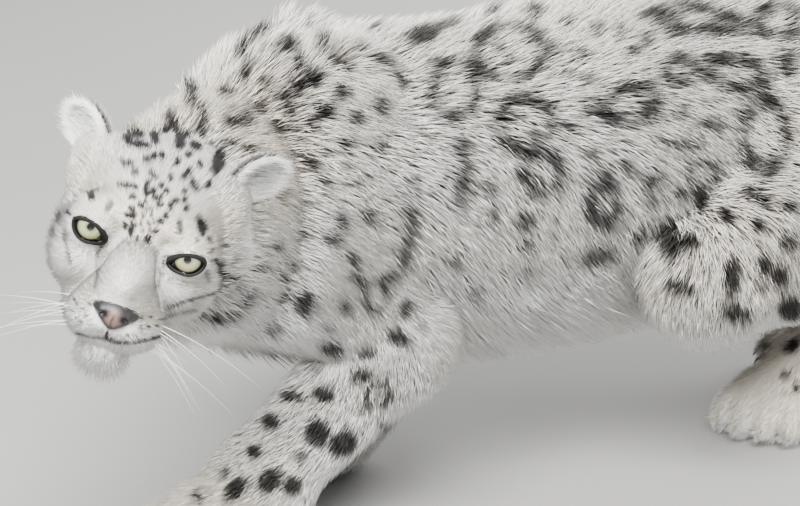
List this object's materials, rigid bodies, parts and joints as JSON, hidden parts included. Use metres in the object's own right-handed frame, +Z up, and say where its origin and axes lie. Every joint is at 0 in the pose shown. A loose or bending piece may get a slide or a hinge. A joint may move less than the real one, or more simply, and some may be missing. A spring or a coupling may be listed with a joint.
{
  "type": "snow leopard",
  "caption": "Life-size snow leopard in a low stalking walk, head turned to its left, as a still museum model.",
  "frame": {"origin": "on the floor, under the middle of the whole animal's box", "axes": "-X is the way the body faces, -Y is its left side, +Z up"},
  "size_m": [1.6128, 0.504, 0.4433],
  "materials": {
    "coat": "long dense fur, pale grey with dark rosettes",
    "pale_coat": "short dense fur, cream white",
    "ear_coat": "short fur, grey with a white lining",
    "nose_skin": "satin moist skin",
    "eye": "clear wet gloss"
  },
  "bodies": {
    "root": {"foreleg_left_upper": "coat", "foreleg_left_lower": "coat", "foreleg_left_paw": "pale_coat", "foreleg_right_upper": "coat", "foreleg_right_lower": "coat", "foreleg_right_paw": "pale_coat", "hindleg_left_upper": "coat", "hindleg_left_lower": "coat", "hindleg_left_paw": "pale_coat", "hindleg_right_upper": "coat", "hindleg_right_lower": "coat", "hindleg_right_paw": "pale_coat", "torso": "coat", "neck": "coat", "tail_1": "coat", "tail_2": "coat", "tail_3": "coat", "tail_4": "coat", "head": "coat", "nose_leather": "nose_skin", "eye_left": "eye", "ear_left": "ear_coat", "eye_right": "eye", "ear_right": "ear_coat"}
  },
  "joints": []
}
